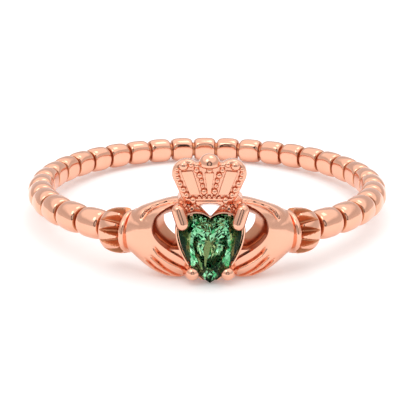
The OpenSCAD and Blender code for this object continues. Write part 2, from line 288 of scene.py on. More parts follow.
def press_beads(bm):
    """Presses the spun tube to the profile of a row of beads, cut flat along the finger hole."""
    for v in bm.verts:
        angle = degrees(atan2(v.co.x, -v.co.y)) % 360
        place = (angle - 180 - BEAD_TURN) / BEAD_PITCH
        middle = round(place)
        q = max(-1, min(1, 2 * (place - middle)))
        if abs(q) < ON_BEAD:
            s = BEAD_SHARE * sin(pi / 2 * q / ON_BEAD)
        else:
            s = (1 - (1 - abs(q)) / (1 - ON_BEAD) * (1 - BEAD_SHARE)) * (1 if q > 0 else -1)
        way = Vector((hypot(v.co.x, v.co.y) - ROW_R, v.co.z)).normalized()
        far = bead_radius(s)
        if way.x < 0:
            flat = (ROW_R - HOLE_R) / -way.x
            far = (far ** -FLAT_EDGE + flat ** -FLAT_EDGE) ** (-1 / FLAT_EDGE)
        r = ROW_R + way.x * far
        turn = radians(180 + BEAD_TURN + (middle + s / 2) * BEAD_PITCH)
        v.co = (r * sin(turn), -r * cos(turn), way.y * far)


def bead_band():
    bm = bmesh.new()
    step = BEAD_PITCH / STEPS_PER_BEAD
    first = ceil((SLEEVE_END - BAND_IN - 180 - BEAD_TURN) / step)
    last = floor((360 - SLEEVE_END + BAND_IN - 180 - BEAD_TURN) / step)
    bmesh.ops.create_circle(bm, cap_ends=False, segments=SECTION_POINTS, radius=BEAD_R)
    bm.transform(around(180 + BEAD_TURN + first * step - 90) @ Matrix.Translation((ROW_R, 0, 0))
                 @ Matrix.Rotation(radians(90), 4, "X"))
    bmesh.ops.spin(bm, geom=bm.verts[:] + bm.edges[:], cent=(0, 0, 0), axis=(0, 0, 1),
                   angle=radians((last - first) * step), steps=last - first)
    press_beads(bm)
    bmesh.ops.holes_fill(bm, edges=[e for e in bm.edges if e.is_boundary], sides=0)
    # Faces in the grooves take the rough gold, painted darker as shade
    for face in bm.faces:
        middle = face.calc_center_median()
        place = (degrees(atan2(middle.x, -middle.y)) - 180 - BEAD_TURN) / BEAD_PITCH
        face.material_index = int(2 * abs(place - round(place)) > IN_GROOVE)
    piece = cast("bead_band", bm, polished_gold, crease=30)
    piece.data.materials.append(rough_shaded_gold)
    return piece


band = bead_band()
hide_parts("ring")

# %% [markdown]
# A fluted sleeve closes the band at each side of the head. It is turned on a lathe and then cut by
# twelve darts: each is wide and deep against the cuff and runs out to a point near the beads.

# %% Sleeves
# Where cuff and sleeve meet, in degrees from the heart
CUFF_ANGLE = 24.8
SLEEVE_R = 1.12
SLEEVE_LEN = 1.15
# The shoulder towards the beads: how far it comes in, and over what length
SHOULDER = (0.40, 0.84)
SLEEVE_LIP = 0.12
FLUTES = 12
FLUTE_LEN = 1.0
FLUTE_HALF = 0.24
FLUTE_DEPTH = 0.42
# Points nearer to the sleeve's own axis than this stay where they are
SLEEVE_CORE = 0.3
# Half the arc that a sleeve spans: it leans by that to follow the band
SLEEVE_LEAN = SLEEVE_LEN / CUFF_R * 90 / pi


def sleeve(side):
    bm = bmesh.new()
    inwards, over = SHOULDER
    rounded = [(SLEEVE_R - inwards + inwards * x, SLEEVE_LEN - over + over * h)
               for x, h in bow(24, 1, 0, 90, (0, 0))]
    lip = bow(8, SLEEVE_LIP, -80, 0, (SLEEVE_R - SLEEVE_LIP, SLEEVE_LIP))
    straight = [(SLEEVE_R, SLEEVE_LIP + (SLEEVE_LEN - over - SLEEVE_LIP) * i / 8) for i in range(1, 8)]
    turned(bm, [(0, 0)] + lip + straight + rounded + [(0, SLEEVE_LEN)], FLUTES * 20)
    for v in bm.verts:
        r = hypot(v.co.x, v.co.y)
        if r < SLEEVE_CORE or v.co.z > FLUTE_LEN:
            continue
        angle = degrees(atan2(v.co.y, v.co.x))
        dart = (angle / (360 / FLUTES)) % 1 - 0.5
        off = abs(dart) * 2 * pi * SLEEVE_R / FLUTES
        half = FLUTE_HALF * (1 - v.co.z / FLUTE_LEN) ** 0.8
        if off < half:
            deep = FLUTE_DEPTH * (1 - v.co.z / FLUTE_LEN) * (1 - (off / half) ** 2) ** 0.6
            v.co.x, v.co.y = v.co.x * (r - deep) / r, v.co.y * (r - deep) / r
            # The darts are rougher and painted darker, as shade in them
            for face in v.link_faces:
                face.material_index = 1
    bm.transform(along_band(CUFF_ANGLE, CUFF_R) @ Matrix.Rotation(radians(SLEEVE_LEAN), 4, "Y"))
    trim_finger_side(bm)
    bm.transform(Matrix.Scale(side, 4, (1, 0, 0)))
    piece = cast("sleeve_left" if side < 0 else "sleeve_right", bm, polished_gold)
    piece.data.materials.append(rough_shaded_gold)
    return piece


def trim_finger_side(bm):
    """Presses what reaches into the finger hole back onto its wall."""
    wall = HOLE_R + 0.01
    for v in bm.verts:
        r = hypot(v.co.x, v.co.y)
        if r < wall:
            v.co.x, v.co.y = v.co.x * wall / r, v.co.y * wall / r


sleeves = [sleeve(side) for side in (-1, 1)]

# %% [markdown]
# Between sleeve and hand sits a plain cuff, like a shirt's, with one groove turned into it.

# %% Cuffs
CUFF_LEN = 0.46
CUFF_LEAN = CUFF_LEN / CUFF_R * 90 / pi
# Columns: radius and place along the cuff, from the hand to the sleeve
CUFF_PROFILE = [
    (0, 0), (0.97, 0), (0.94, 0.02), (0.82, 0.045), (0.79, 0.09), (0.82, 0.135), (0.97, 0.16),
    (1.03, 0.21), (1.035, 0.28), (1.03, 0.36), (1.00, 0.42), (0.93, 0.47), (0.85, 0.56), (0, 0.56),
]


def cuff(side):
    bm = bmesh.new()
    turned(bm, CUFF_PROFILE, 96)
    bm.transform(along_band(CUFF_ANGLE, CUFF_R) @ Matrix.Rotation(radians(-CUFF_LEAN), 4, "Y")
                 @ Matrix.Translation((0, 0, -CUFF_LEN)))
    trim_finger_side(bm)
    bm.transform(Matrix.Scale(side, 4, (1, 0, 0)))
    return cast("cuff_left" if side < 0 else "cuff_right", bm, polished_gold, crease=50)


cuffs = [cuff(side) for side in (-1, 1)]

# %% [markdown]
# The hands are the hardest form. Each starts as a spun tube, and its points are then moved onto the
# hand's sections, which a short table gives from the cuff to the heart. The gaps between the
# fingers and the crease of the thumb are valleys pressed into that skin along measured lines.

# %% Hand sections
HAND_UP = 1.92
HAND_DOWN = 1.96
HAND_T = 1.05
# The arc of a hand, in degrees from the heart's middle
HAND_FROM = 22.3
HAND_TO = 4.5
# The palm side lies this far outside the hole's wall, pressed flat by a power and made narrower
PALM_GAP, PALM_FLAT, PALM_NARROW = 0.012, 0.42, 0.2
# Columns: place from cuff to heart, reach down, reach up and thickness as shares, squareness
HAND = [
    (0.00, 0.52, 0.59, 0.92, 2.0),
    (0.14, 0.66, 0.71, 0.95, 2.3),
    (0.28, 0.79, 0.80, 0.99, 2.7),
    (0.42, 0.90, 0.88, 1.02, 2.9),
    (0.56, 0.97, 0.95, 1.03, 3.0),
    (0.70, 1.00, 1.00, 1.02, 3.0),
    (0.84, 0.98, 1.02, 0.98, 3.0),
    (1.00, 0.90, 1.01, 0.92, 3.0),
]


def four_around(rows, i):
    """The rows beside step i, from the one before it to the one after the next."""
    return [rows[max(0, min(len(rows) - 1, j))] for j in range(i - 1, i + 3)]


def smooth(a, b, c, d, t):
    """A Catmull-Rom curve through four values, at a share t of the way from b to c."""
    swing, twist = a - 2.5 * b + 2 * c - d / 2, 1.5 * (b - c) + (d - a) / 2
    return b + (c - a) / 2 * t + swing * t * t + twist * t ** 3


def column(v, k):
    """A smooth curve through one column of the hand's table."""
    i = max(0, min(len(HAND) - 2, sum(row[0] < v - 1e-4 for row in HAND) - 1))
    t = (v - HAND[i][0]) / (HAND[i + 1][0] - HAND[i][0])
    return smooth(*(row[k] for row in four_around(HAND, i)), t)


def power(value, share):
    """A power of a value's size that keeps the value's sign."""
    return abs(value) ** share * (1 if value >= 0 else -1)


def hand_place(v, across, up):
    """A point of the hand's skin: across is 1 at the front and -1 at the finger, up is 1 at the top."""
    low, high = -HAND_DOWN * column(v, 1), HAND_UP * column(v, 2)
    square = column(v, 4)
    z = (low + high) / 2 + (high - low) / 2 * power(up, 2 / square)
    if across >= 0:
        return CUFF_R + HAND_T * column(v, 3) * abs(across) ** (2 / square), z
    out = CUFF_R - (CUFF_R - HOLE_R - PALM_GAP) * abs(across) ** PALM_FLAT
    return out, z * (1 - PALM_NARROW + PALM_NARROW * (1 - abs(across)) ** 2)


# %% [markdown]
# The lines below are places on the front of the right hand, as distance from the heart's middle
# and height, in millimetres. A valley follows each line and fades towards both ends.

# %% Valleys between fingers and at the thumb
# Each valley: width, width above its line, depth, share of its length that it fades in over, points
VALLEYS = {
    "under_index": (0.06, 0.06, 0.26, 0.20, [
        (2.66, -0.26), (2.58, -0.34), (2.38, -0.59), (2.04, -0.85), (1.68, -1.06), (1.30, -1.27),
        (1.05, -1.45)]),
    "under_middle": (0.06, 0.06, 0.24, 0.20, [
        (2.80, -0.70), (2.69, -0.83), (2.43, -1.05), (2.13, -1.34), (1.87, -1.52), (1.65, -1.66),
        (1.30, -1.80)]),
    "under_ring": (0.055, 0.055, 0.24, 0.20, [
        (3.08, -0.92), (3.00, -0.99), (2.81, -1.17), (2.58, -1.40), (2.15, -1.65), (1.85, -1.78)]),
    "thumb": (0.06, 0.10, 0.24, 0.20, [
        (3.22, 0.86), (3.19, 0.92), (2.99, 1.21), (2.73, 1.41), (2.39, 1.58), (2.02, 1.70), (1.50, 1.80)]),
    "thumb_hollow": (0.16, 0.28, 0.05, 0.45, [
        (3.80, 1.10), (3.63, 0.96), (3.52, 0.84), (3.30, 0.78), (2.92, 0.84), (2.70, 1.00)]),
}
# At its far end a valley keeps this share of its depth
FAR_SHARE = 0.35


def nearest(line, x, z):
    """Distance from a point to a line, how far along the line it is, and whether it is above."""
    best, total = (9.0, 0.0, True), 0.0
    for (x0, z0), (x1, z1) in zip(line, line[1:]):
        step = hypot(x1 - x0, z1 - z0)
        t = max(0, min(1, ((x - x0) * (x1 - x0) + (z - z0) * (z1 - z0)) / step ** 2))
        off = hypot(x - x0 - t * (x1 - x0), z - z0 - t * (z1 - z0))
        if off < best[0]:
            best = (off, total + t * step, (x - x0) * (z1 - z0) - (z - z0) * (x1 - x0) > 0)
        total += step
    return best[0], best[1] / total, best[2]


def valley_depth(x, z):
    """How far all the valleys together press the skin in at a place on the hand's front."""
    deep = 0.0
    for below, above, depth, fade, line in VALLEYS.values():
        off, along, over = nearest(line, x, z)
        width = above if over else below
        if off < 3 * width:
            ends = min(1, along / fade, (1 - along) / fade + FAR_SHARE)
            deep += depth * max(0, ends) ** 0.8 * exp(-(off / width) ** 2)
    return deep


# %% [markdown]
# A window opens between palm and heart, and the front edge of the index finger carries its rim on
# down to the stone. Two cutters make them with a Boolean modifier, because they cross the skin's
# grid freely: one follows the window back to the finger hole, the other is a shallow wedge. A Bevel
# modifier then rounds the rims as the polisher would.

# %% Hands
# A reach in front of every piece, from which the cutters start
CUT_FROM = 12.0
# The window leans by this angle, and its outline was measured at this reach
WINDOW_ANGLE = 14
WINDOW_PLANE = 10.1
WINDOW_RIM = [
    (1.30, 1.76), (1.72, 1.70), (2.05, 1.55), (2.35, 1.34), (2.62, 1.02), (2.71, 0.70), (2.68, 0.39),
    (2.52, 0.10), (2.26, -0.16), (1.89, -0.42),
]
INDEX_RIM = [(2.26, -0.16), (1.89, -0.42), (1.60, -0.59), (1.26, -0.81), (0.97, -1.11)]
# Corners beyond the hand that close each outline
WINDOW_CLOSE = [(0.9, -0.46), (0.9, 1.76)]
INDEX_CLOSE = [(0.8, -0.9), (0.8, 0.2)]
# The middle that the walls stand in towards, and the height from which the top comes down
WINDOW_MIDDLE = Vector((1.75, 0.65))
WINDOW_SHOULDER = 0.8
# Columns: reach, share that the top has come down by, how far the wall stands inwards
WINDOW_LEVELS = [(CUT_FROM, 0.0, 0.0), (9.78, 0.0, 0.0), (9.72, 0.05, 0.06), (9.3, 0.35, 0.08),
                 (9.0, 0.55, 0.10), (7.0, 0.55, 0.10)]
INDEX_FLOOR = 10.12
# Points and steps of the tube that becomes a hand, and its radius
HAND_POINTS, HAND_STEPS, HAND_TUBE = 300, 150, 0.5


def flowing(points, steps=6):
    """A smooth line through points."""
    line = []
    for i in range(len(points) - 1):
        four = [Vector(p) for p in four_around(points, i)]
        line += [smooth(*four, k / steps) for k in range(steps)]
    return line + [Vector(points[-1])]


def prism(points, front, back, lean=0):
    """An outline of x and height at one reach, pushed from a front to a back reach, leaning inwards."""
    bm = bmesh.new()
    loop = bmesh.ops.create_circle(bm, cap_ends=True, segments=len(points), radius=1)["verts"]
    for v, p in zip(loop, points):
        v.co = (p[0] + tan(radians(lean)) * (front - WINDOW_PLANE), -front, p[1])
    cap = bmesh.ops.extrude_face_region(bm, geom=bm.faces[:])
    bmesh.ops.translate(bm, verts=[v for v in cap["geom"] if isinstance(v, bmesh.types.BMVert)],
                        vec=(-tan(radians(lean)) * (front - back), front - back, 0))
    return bm


def window_cutter():
    """The window's outline, led back to the finger hole. Its top comes down on the way."""
    rim = flowing(WINDOW_RIM) + [Vector(p) for p in WINDOW_CLOSE]
    bm = bmesh.new()
    loops = []
    for reach, fall, inwards in WINDOW_LEVELS:
        loop = bmesh.ops.create_circle(bm, cap_ends=False, segments=len(rim), radius=1)["verts"]
        for v, p in zip(loop, rim):
            p = p + (WINDOW_MIDDLE - p).normalized() * inwards
            x = p.x + tan(radians(WINDOW_ANGLE)) * (reach - WINDOW_PLANE)
            v.co = (x, -reach, p.y - fall * max(0, p.y - WINDOW_SHOULDER))
        loops.append(list({e for v in loop for e in v.link_edges}))
    for a, b in zip(loops, loops[1:]):
        bmesh.ops.bridge_loops(bm, edges=a + b)
    bmesh.ops.holes_fill(bm, edges=[e for e in bm.edges if e.is_boundary], sides=0)
    return bm


def window_drills(side):
    """The cutters of one hand: the window and the shallow wedge beside the index finger."""
    wedge = flowing(INDEX_RIM) + [Vector(p) for p in INDEX_CLOSE]
    drills = []
    for bm in (window_cutter(), prism(wedge, CUT_FROM, INDEX_FLOOR, WINDOW_ANGLE)):
        bm.transform(Matrix.Scale(side, 4, (1, 0, 0)))
        drills.append(laid_down("window drill", bm))
    # The window's cut walls are rougher and painted darker, as shade inside it
    drills[0].data.materials.append(rough_shaded_gold)
    return drills


def drilled(piece, drill):
    """Cuts one object out of another, whose cut faces take its material, then deletes the cutter."""
    cut = piece.modifiers.new("cut", "BOOLEAN")
    cut.operation, cut.solver, cut.object = "DIFFERENCE", "MANIFOLD", drill
    cut.material_mode = "TRANSFER"
    bpy.context.view_layer.update()
    made = bpy.data.meshes.new_from_object(piece.evaluated_get(bpy.context.evaluated_depsgraph_get()))
    piece.modifiers.clear()
    old, piece.data = piece.data, made
    bpy.data.meshes.remove(old)
    bpy.data.objects.remove(drill)
    made.set_sharp_from_angle(angle=radians(CREASE))
    print(piece.name, "is cut and has", len(made.polygons), "faces")
    return piece


def rounded_rims(piece, width, limit=50):
    """Rounds a piece's edges that turn by more than a limit with a Bevel modifier."""
    soft = piece.modifiers.new("rounded rims", "BEVEL")
    soft.width, soft.segments = width / 1000, 3
    soft.limit_method, soft.angle_limit = "ANGLE", radians(limit)
    return piece


def hand(side):
    bm = bmesh.new()
    bmesh.ops.create_circle(bm, cap_ends=False, segments=HAND_POINTS, radius=HAND_TUBE)
    bm.transform(around(HAND_TO - 90) @ Matrix.Translation((CUFF_R, 0, 0))
                 @ Matrix.Rotation(radians(90), 4, "X"))
    bmesh.ops.spin(bm, geom=bm.verts[:] + bm.edges[:], cent=(0, 0, 0), axis=(0, 0, 1),
                   angle=radians(HAND_FROM - HAND_TO), steps=HAND_STEPS)
    for vert in bm.verts:
        angle = degrees(atan2(vert.co.x, -vert.co.y))
        v = (HAND_FROM - angle) / (HAND_FROM - HAND_TO)
        across, up = (hypot(vert.co.x, vert.co.y) - CUFF_R) / HAND_TUBE, vert.co.z / HAND_TUBE
        out, z = hand_place(v, max(-1, min(1, across)), max(-1, min(1, up)))
        if across > 0:
            # The valleys run out where the skin turns to the palm side
            out -= valley_depth(out * sin(radians(angle)), z) * min(1, across * 3)
        vert.co = (out * sin(radians(angle)), -out * cos(radians(angle)), z)
    bmesh.ops.holes_fill(bm, edges=[e for e in bm.edges if e.is_boundary], sides=0)
    bm.transform(Matrix.Scale(side, 4, (1, 0, 0)))
    piece = cast("hand_left" if side < 0 else "hand_right", bm, polished_gold)
    for drill in window_drills(side):
        drilled(piece, drill)
    return rounded_rims(piece, 0.03)


hands = [hand(side) for side in (-1, 1)]

# %% [markdown]
# The heart's outline drives the stone, its basket and the prongs, so it is one function: two round
# lobes and two long curves to the tip. It gives a point at a share u of the way around, from the
# tip, moved outwards by a distance.

# %% The heart's outline
STONE_W, STONE_H, LOBE_R = 2.92, 3.28, 0.84
STONE_Z = 0.49
TABLE_REACH, STONE_CROWN, STONE_GIRDLE = 10.82, 0.38, 0.08
GIRDLE_REACH = TABLE_REACH - STONE_CROWN
LOBE_X = STONE_W / 2 - LOBE_R
TIP_Z = LOBE_R - STONE_H
# A lobe goes over into the long side this many degrees below the lobe's middle
SIDE_TURN = 8
SIDE_AIM = Vector((cos(radians(SIDE_TURN)), -sin(radians(SIDE_TURN))))
SIDE_FROM = Vector((LOBE_X, 0)) + LOBE_R * SIDE_AIM
SIDE_R = (SIDE_FROM - Vector((0, TIP_Z))).length_squared / (2 * (SIDE_FROM - Vector((0, TIP_Z))) @ SIDE_AIM)
SIDE_C = SIDE_FROM - SIDE_R * SIDE_AIM


def half_heart(u, d):
    """The right half: the long side up to a quarter of the way around, then the lobe to the notch."""
    if u <= 0.25:
        tip = SIDE_C.y - sqrt((SIDE_R + d) ** 2 - SIDE_C.x ** 2)
        a0 = degrees(atan2(tip - SIDE_C.y, -SIDE_C.x))
        a = radians(a0 + (-SIDE_TURN - a0) * u * 4)
        return SIDE_C + (SIDE_R + d) * Vector((cos(a), sin(a)))
    a1 = 180 - degrees(acos(LOBE_X / (LOBE_R + d)))
    a = radians(-SIDE_TURN + (a1 + SIDE_TURN) * (u * 4 - 1))
    return Vector((LOBE_X, 0)) + (LOBE_R + d) * Vector((cos(a), sin(a)))


def heart(u, d=0.0):
    """A point of the outline at a share u of the way around, moved outwards by d."""
    if u <= 0.5:
        return half_heart(u, d)
    p = half_heart(1 - u, d)
    return Vector((-p.x, p.y))


# %% [markdown]
# The stone sits in an open basket. Its wall is the heart's outline drawn back to the finger hole,
# a little outside the stone, with a rim that is rounded over. It leaves the stone's tip free.

# %% Basket
BASKET_END = STONE_Z + TIP_Z + 0.12
# Basket and gallery start here, just outside the finger hole
SETTING_BACK = 8.75
# Columns: how far outside the stone, how far under the rim
BASKET_RIM = [(0.17, 0.06), (0.15, 0.015), (0.12, 0.0), (0.085, 0.0), (0.055, 0.03), (0.05, 0.28),
              (-0.2, 0.3)]


def heart_ring(bm, d, reach, count=96):
    """A closed loop of edges on the heart's outline, at a distance from the ring's axis."""
    loop = bmesh.ops.create_circle(bm, cap_ends=False, segments=count, radius=1)["verts"]
    for i, v in enumerate(loop):
        p = heart(i / count, d)
        v.co = (p.x, -reach, STONE_Z + p.y)
    return sorted({e for v in loop for e in v.link_edges}, key=lambda e: e.index)


def basket():
    bm = bmesh.new()
    top = GIRDLE_REACH - STONE_GIRDLE
    rim = [(d, top - under) for d, under in BASKET_RIM]
    profile = [(rim[0][0], SETTING_BACK)] + rim + [(rim[-1][0], SETTING_BACK)]
    loops = [heart_ring(bm, d, reach) for d, reach in profile]
    for a, b in zip(loops, loops[1:]):
        bmesh.ops.bridge_loops(bm, edges=a + b)
    bmesh.ops.remove_doubles(bm, verts=bm.verts, dist=MERGE)
    bmesh.ops.bisect_plane(bm, geom=bm.verts[:] + bm.edges[:] + bm.faces[:], plane_co=(0, 0, BASKET_END),
                           plane_no=(0, 0, -1), clear_outer=True)
    bmesh.ops.holes_fill(bm, edges=[e for e in bm.edges if e.is_boundary], sides=0)
    return cast("heart_basket", bm, polished_gold, crease=45)


heart_basket = basket()

# %% [markdown]
# Behind the lobes a low gallery carries the crown. A small three-cornered gap shows the light under
# the crown's middle, so the gallery is cut through along the camera's way down, as the real one is
# filed. Beside the gap the casting is left rough, in small lumps, as no wheel gets in there.

# %% Gallery
CROWN_FOOT = 1.88
GALLERY_FRONT = 9.86
# One half of the gallery's outline: it widens to meet the thumbs
GALLERY_SIDE = [(0.95, 0.59), (1.15, 1.30), (1.46, 1.62), (1.52, 1.90), (1.24, 2.18)]
GAP = [(-0.47, 1.66), (-0.30, 1.72), (0.0, 1.74), (0.30, 1.72), (0.47, 1.66), (0.04, 1.13), (-0.04, 1.13)]
# Where the gap's cutter ends, and how far it falls for each millimetre of its way
GAP_BACK = 7
GAP_FALL = 0.36
# Columns: place across, height, radius
LUMPS = [(0.62, 1.50, 0.17), (0.85, 1.46, 0.19), (1.08, 1.42, 0.16), (0.74, 1.66, 0.14), (0.98, 1.62, 0.15)]
# How far the noise moves a lump's points, and the seed of that noise
LUMP_NOISE = 0.035
LUMP_SEED = 1


def gap_cutter():
    """The gap's outline, pushed backwards and downwards from in front of the heart."""
    raised = GAP_FALL * (CUT_FROM - GALLERY_FRONT)
    bm = prism([(x, z + raised) for x, z in GAP], CUT_FROM, GAP_BACK)
    for v in bm.verts:
        if v.co.y > -GALLERY_FRONT:
            v.co.z -= GAP_FALL * (CUT_FROM - GAP_BACK)
    return laid_down("gap cutter", bm)


def gallery():
    outline = GALLERY_SIDE + [(-x, z) for x, z in reversed(GALLERY_SIDE)]
    piece = cast("gallery", prism(outline, GALLERY_FRONT, SETTING_BACK), cast_gold)
    return rounded_rims(drilled(piece, gap_cutter()), 0.05, limit=30)


def lumps():
    """The unpolished corners between the heart's lobes and the crown."""
    # With a seed the lumps come out the same at every run
    noise.seed_set(LUMP_SEED)
    bm = bmesh.new()
    for x, z, r in LUMPS:
        for side in (-1, 1):
            made = bmesh.ops.create_icosphere(bm, subdivisions=3, radius=r,
                                              matrix=Matrix.Translation((side * x, -GALLERY_FRONT + 0.02, z)))
            for v in made["verts"]:
                v.co += LUMP_NOISE * noise.noise_vector(v.co * 6 + Vector((side, 0, 0)))
    return cast("gallery_lumps", bm, cast_gold)


crown_gallery = gallery()
drilled(heart_basket, gap_cutter())
gallery_lumps = lumps()

# %% [markdown]
# The crown is a plate with round lobes. Its outline is found by sending rays from its middle out to
# the lobes and the flanks. Loops of that outline, each at its own reach, are bridged to a plate with
# a rounded rim and a sunk, rough ground. Three smooth panels stand up from the ground.

# %% Crown plate
CROWN_W, CROWN_H = 3.36, 2.30
CROWN_REACH, CROWN_T = 10.22, 0.7
# Height of the rays' start as a share of the crown's height
CROWN_MIDDLE = 0.45
# Columns: place across and place up as shares of the crown's half width and height, radius
CROWN_ROUNDS = [(0.62, 0.58, 0.66), (0.33, 0.69, 0.26)]
# Place of the orb, and radius of the plate behind it
ORB_AT, ORB_R = (0, 0.76), 0.42
# Columns: place across and place up as shares, along one side of the crown from its foot
FLANK = [(0.0, 0.0), (0.66, 0.0), (0.76, 0.10), (0.84, 0.24), (0.92, 0.37), (1.0, 0.52)]
# The casting's crown stands a hair to the left
CROWN_SHIFT = -0.055
RIM_ROUND = 0.17
# The back edge. Columns: how far inside the outline, how far in front of the plate's back
BACK_EDGE = [(0.24, 0.0), (0.12, 0.03), (0.04, 0.12), (0.0, 0.26)]
# How far the ground and the panels lie behind the rim, and how far the panels reach into the ground
FACE_SUNK = 0.20
PANEL_SUNK = 0.08
PANEL_ROOT = 0.05
# Rounding radius of a panel's corners and edges
PANEL_ROUND = 0.05
# Corners of each panel: place across and place up as shares
PANELS = [
    [(-0.05, 0.15), (0.05, 0.15), (0.13, 0.60), (-0.13, 0.60)],
    [(0.24, 0.14), (0.53, 0.14), (0.78, 0.62), (0.45, 0.64)],
    [(-0.24, 0.14), (-0.53, 0.14), (-0.78, 0.62), (-0.45, 0.64)],
]


def crown_point(across, up):
    """The place and height in millimetres of a point given as shares of the crown."""
    return CROWN_SHIFT + across * CROWN_W / 2, CROWN_FOOT + up * CROWN_H


def ray_to_circle(start, way, middle, r):
    """How far along a ray its last crossing with a circle lies, or 0."""
    to = Vector(middle) - Vector(start)
    near = to.dot(way)
    off = to.length_squared - near ** 2
    return near + sqrt(r * r - off) if off < r * r else 0


def ray_to_side(start, way, a, b):
    """How far along a ray it crosses the straight side from a to b, or 0."""
    a, b = Vector(a), Vector(b)
    side = b - a
    cross = way.x * side.y - way.y * side.x
    if abs(cross) < 1e-9:
        return 0
    gap = a - Vector(start)
    t = (gap.x * side.y - gap.y * side.x) / cross
    s = (gap.x * way.y - gap.y * way.x) / cross
    return t if t > 0 and 0 <= s <= 1 else 0


def crown_edge(angle):
    """The crown's outline at an angle around its middle."""
    start = Vector(crown_point(0, CROWN_MIDDLE))
    way = Vector((cos(angle), sin(angle)))
    far = ray_to_circle(start, way, crown_point(*ORB_AT), ORB_R)
    for side in (-1, 1):
        for across, up, r in CROWN_ROUNDS:
            far = max(far, ray_to_circle(start, way, crown_point(side * across, up), r))
        flank = [crown_point(side * across, up) for across, up in FLANK]
        for a, b in zip(flank, flank[1:]):
            far = max(far, ray_to_side(start, way, a, b))
    return start + way * far


def crown_panels():
    """Three smooth panels that stand up from the crown's rough ground."""
    bm = bmesh.new()
    for points in PANELS:
        made = bmesh.ops.create_circle(bm, cap_ends=True, segments=4, radius=1)
        for v, p in zip(made["verts"], points):
            x, z = crown_point(*p)
            v.co = (x, -CROWN_REACH + FACE_SUNK + PANEL_ROOT, z)
    bmesh.ops.bevel(bm, geom=bm.verts[:], offset=PANEL_ROUND, offset_type="OFFSET", segments=4, profile=0.5,
                    affect="VERTICES", material=-1)
    cap = bmesh.ops.extrude_face_region(bm, geom=bm.faces[:])
    bmesh.ops.translate(bm, verts=[v for v in cap["geom"] if isinstance(v, bmesh.types.BMVert)],
                        vec=(0, PANEL_SUNK - FACE_SUNK - PANEL_ROOT, 0))
    return rounded_rims(cast("crown_panels", bm, polished_gold), PANEL_ROUND, limit=60)


def crown_loop(bm, inwards, reach, count=240):
    """A closed loop of edges on the crown's outline, moved inwards, at a distance from the axis."""
    points = [crown_edge(2 * pi * i / count) for i in range(count)]
    loop = bmesh.ops.create_circle(bm, cap_ends=False, segments=count, radius=1)["verts"]
    for i, v in enumerate(loop):
        way = points[(i + 2) % count] - points[i - 2]
        p = points[i] + Vector((-way.y, way.x)).normalized() * inwards
        v.co = (p.x, -reach, p.y)
    return list({e for v in loop for e in v.link_edges})


def crown_plate():
    bm = bmesh.new()
    back = [(inwards, CROWN_REACH - CROWN_T + rise) for inwards, rise in BACK_EDGE]
    rim = [(RIM_ROUND * (1 - cos(radians(a))), CROWN_REACH - RIM_ROUND * (1 - sin(radians(a))))
           for a in range(0, 91, 15)]
    ground = [(RIM_ROUND + 0.04, CROWN_REACH - FACE_SUNK)]
    loops = [crown_loop(bm, inwards, reach) for inwards, reach in back + rim + ground]
    for a, b in zip(loops, loops[1:]):
        bmesh.ops.bridge_loops(bm, edges=a + b)
    bmesh.ops.holes_fill(bm, edges=[e for e in bm.edges if e.is_boundary], sides=0)
    return cast("crown_plate", bm, cast_gold)


crown = crown_plate()
panels = crown_panels()

# %% [markdown]
# Rows of tiny beads, called milgrain, edge the crown's panels. Each is a small ball half sunk in
# the plate. They repeat, so each has few faces. The orb on top is one larger ball.

# %% Milgrain and orb
MILGRAIN_D = 0.52
ORB_BALL_R = 0.5
# How far the middles of the beads and of the orb lie behind the crown's front
MILGRAIN_SUNK, ORB_SUNK = 0.09, 0.2
# Height of the orb's lower half as a share of its radius
ORB_FLAT = 0.4
# Columns: place across and place up as shares of the crown's half width and height, size
MILGRAIN = [
    (0.00, 0.65, 0.58), (0.00, 0.095, 0.38), (0.14, 0.09, 0.38), (0.27, 0.08, 0.38),
    (0.445, 0.035, 0.68), (0.625, 0.14, 0.58), (0.705, 0.247, 0.58), (0.795, 0.365, 0.60),
    (0.855, 0.48, 0.52), (0.885, 0.575, 0.50), (0.88, 0.67, 0.48), (0.70, 0.735, 0.90),
    (0.50, 0.765, 0.56), (0.345, 0.745, 0.46), (0.35, 0.655, 0.54), (0.265, 0.545, 0.58),
    (0.215, 0.435, 0.48), (0.185, 0.33, 0.46), (0.145, 0.21, 0.60),
]


def milgrain():
    bm = bmesh.new()
    for across, up, size in MILGRAIN:
        for side in ((-1, 1) if across else (1,)):
            x, z = crown_point(side * across, up)
            bmesh.ops.create_uvsphere(bm, u_segments=16, v_segments=10, radius=MILGRAIN_D * size / 2,
                                      matrix=Matrix.Translation((x, -CROWN_REACH + MILGRAIN_SUNK, z)))
    return cast("milgrain", bm, polished_gold)


def orb():
    """A ball whose lower half is pressed flat, as it grows out of the crown."""
    bm = bmesh.new()
    bmesh.ops.create_uvsphere(bm, u_segments=48, v_segments=32, radius=ORB_BALL_R)
    for v in bm.verts:
        v.co.z *= 1 if v.co.z > 0 else ORB_FLAT
    x, z = crown_point(*ORB_AT)
    bm.transform(Matrix.Translation((x, -CROWN_REACH + ORB_SUNK, z)))
    return cast("crown_orb", bm, polished_gold)


crown_beads = milgrain()
crown_orb = orb()

# %% [markdown]
# Four prongs hold the stone: two long claws come down over the lobes, and two short ones grip the
# sides near the tip. Each claw is a rod with round ends that leans over the girdle, and a thinner
# shaft carries it.

# %% Prongs
PRONG_TOP = TABLE_REACH + 0.08
PRONG_ROOT = GIRDLE_REACH - 1.1
# Radius of a shaft as a share of its claw's
SHAFT_SHARE = 0.85
# Columns: heel across, heel up, tip across, tip up as shares of the stone, radius, reach of the heel
PRONGS = [
    (1.00, 0.32, 0.865, 0.143, 0.31, 10.42),
    (0.64, -0.60, 0.553, -0.582, 0.34, 10.20),
]


